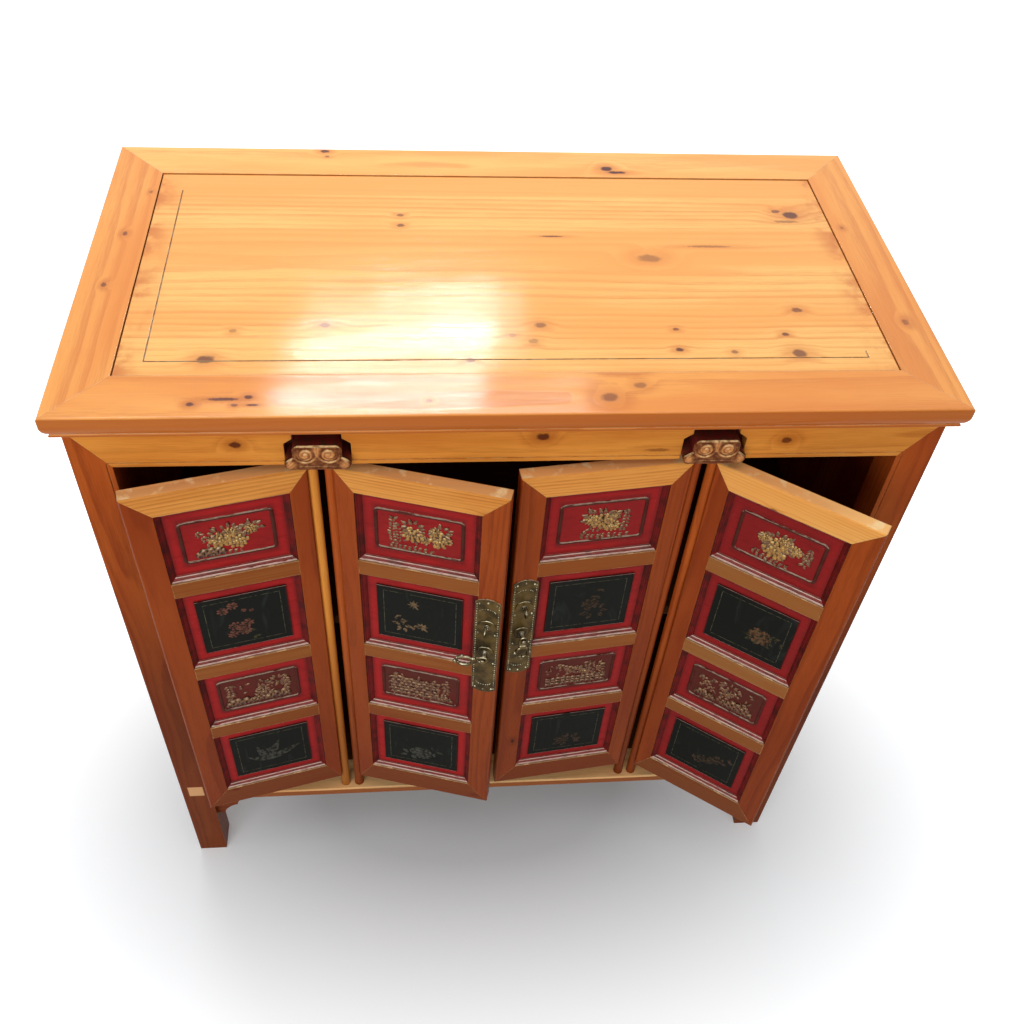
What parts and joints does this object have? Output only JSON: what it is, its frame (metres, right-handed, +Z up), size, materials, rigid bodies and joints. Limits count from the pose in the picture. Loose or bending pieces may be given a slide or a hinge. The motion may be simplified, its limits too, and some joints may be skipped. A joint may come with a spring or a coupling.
{
  "type": "chinese wedding cabinet",
  "caption": "Low wooden cabinet with a moulded panelled top, square posts, narrow panelled doors turning on round wooden rods, carved pivot blocks and brass lock plates.",
  "frame": {"origin": "on the floor, under the middle of the whole outline as pictured, with its doors standing ajar to the front", "axes": "+X to the cabinet's own left as it faces the viewer (the viewer's right), +Y to its back, +Z up"},
  "size_m": [0.95, 0.6063, 0.958],
  "materials": {
    "top_pine": "glossy honey varnish",
    "frame_pine": "varnish, darker towards the floor",
    "inner_pine": "plain, oiled",
    "door_pine": "satin varnish",
    "rod_pine": "satin varnish, worn",
    "carved_pine": "worn gilding over dark red",
    "red_lacquer": "worn red lacquer with black plaques",
    "worn_trim": "lacquer worn to grey",
    "aged_brass": "dark aged brass, bright at the edges"
  },
  "bodies": {
    "carcase": {"top_frame_front": "top_pine", "top_frame_back": "top_pine", "top_frame_left": "top_pine", "top_frame_right": "top_pine", "top_panel": "top_pine", "top_battens": "inner_pine", "post_front_left": "frame_pine", "post_front_right": "frame_pine", "post_back_left": "frame_pine", "post_back_right": "frame_pine", "top_rail_front": "frame_pine", "top_rail_back": "frame_pine", "top_rail_left": "frame_pine", "top_rail_right": "frame_pine", "bottom_rail_front": "frame_pine", "bottom_rail_back": "frame_pine", "bottom_rail_left": "frame_pine", "bottom_rail_right": "frame_pine", "side_wall_left": "inner_pine", "side_wall_right": "inner_pine", "back_wall": "inner_pine", "floor_board": "inner_pine", "shelf": "inner_pine", "shelf_bearers": "inner_pine", "door_stop": "inner_pine", "bracket_left": "frame_pine", "bracket_right": "frame_pine", "pivot_block_left": "carved_pine", "pivot_block_right": "carved_pine"},
    "door_a": {"door_a_rod": "rod_pine", "door_a_hinge_stile": "door_pine", "door_a_lock_stile": "door_pine", "door_a_rails": "door_pine", "door_a_fields": "red_lacquer", "door_a_trims": "worn_trim"},
    "door_b": {"door_b_rod": "rod_pine", "door_b_hinge_stile": "door_pine", "door_b_lock_stile": "door_pine", "door_b_rails": "door_pine", "door_b_fields": "red_lacquer", "door_b_trims": "worn_trim", "lock_plate_b": "aged_brass", "staples_b": "aged_brass"},
    "door_c": {"door_c_rod": "rod_pine", "door_c_hinge_stile": "door_pine", "door_c_lock_stile": "door_pine", "door_c_rails": "door_pine", "door_c_fields": "red_lacquer", "door_c_trims": "worn_trim", "lock_plate_c": "aged_brass", "staples_c": "aged_brass"},
    "door_d": {"door_d_rod": "rod_pine", "door_d_hinge_stile": "door_pine", "door_d_lock_stile": "door_pine", "door_d_rails": "door_pine", "door_d_fields": "red_lacquer", "door_d_trims": "worn_trim"},
    "pull_b": {"pull_b": "aged_brass"},
    "pull_c": {"pull_c": "aged_brass"}
  },
  "joints": [
    {"name": "door_a_pivot", "type": "hinge", "parent": "carcase", "child": "door_a", "pos_m": [-0.22075, -0.18153, 0.2105], "axis": [0, 0, 1], "range_deg": [-13, 72]},
    {"name": "door_b_pivot", "type": "hinge", "parent": "carcase", "child": "door_b", "pos_m": [-0.20075, -0.18153, 0.2105], "axis": [0, 0, -1], "range_deg": [-15.5, 69.5]},
    {"name": "door_c_pivot", "type": "hinge", "parent": "carcase", "child": "door_c", "pos_m": [0.20075, -0.18153, 0.2105], "axis": [0, 0, 1], "range_deg": [-6.5, 78.5]},
    {"name": "door_d_pivot", "type": "hinge", "parent": "carcase", "child": "door_d", "pos_m": [0.22075, -0.18153, 0.2105], "axis": [0, 0, -1], "range_deg": [-35, 50]},
    {"name": "pull_b_swing", "type": "hinge", "parent": "door_b", "child": "pull_b", "pos_m": [-0.03045, -0.25242, 0.58905], "axis": [0.2672, 0.9636, 0], "range_deg": [-80, 18]},
    {"name": "pull_c_swing", "type": "hinge", "parent": "door_c", "child": "pull_c", "pos_m": [0.02146, -0.2249, 0.58905], "axis": [0.1132, -0.9936, 0], "range_deg": [-10, 88]}
  ]
}
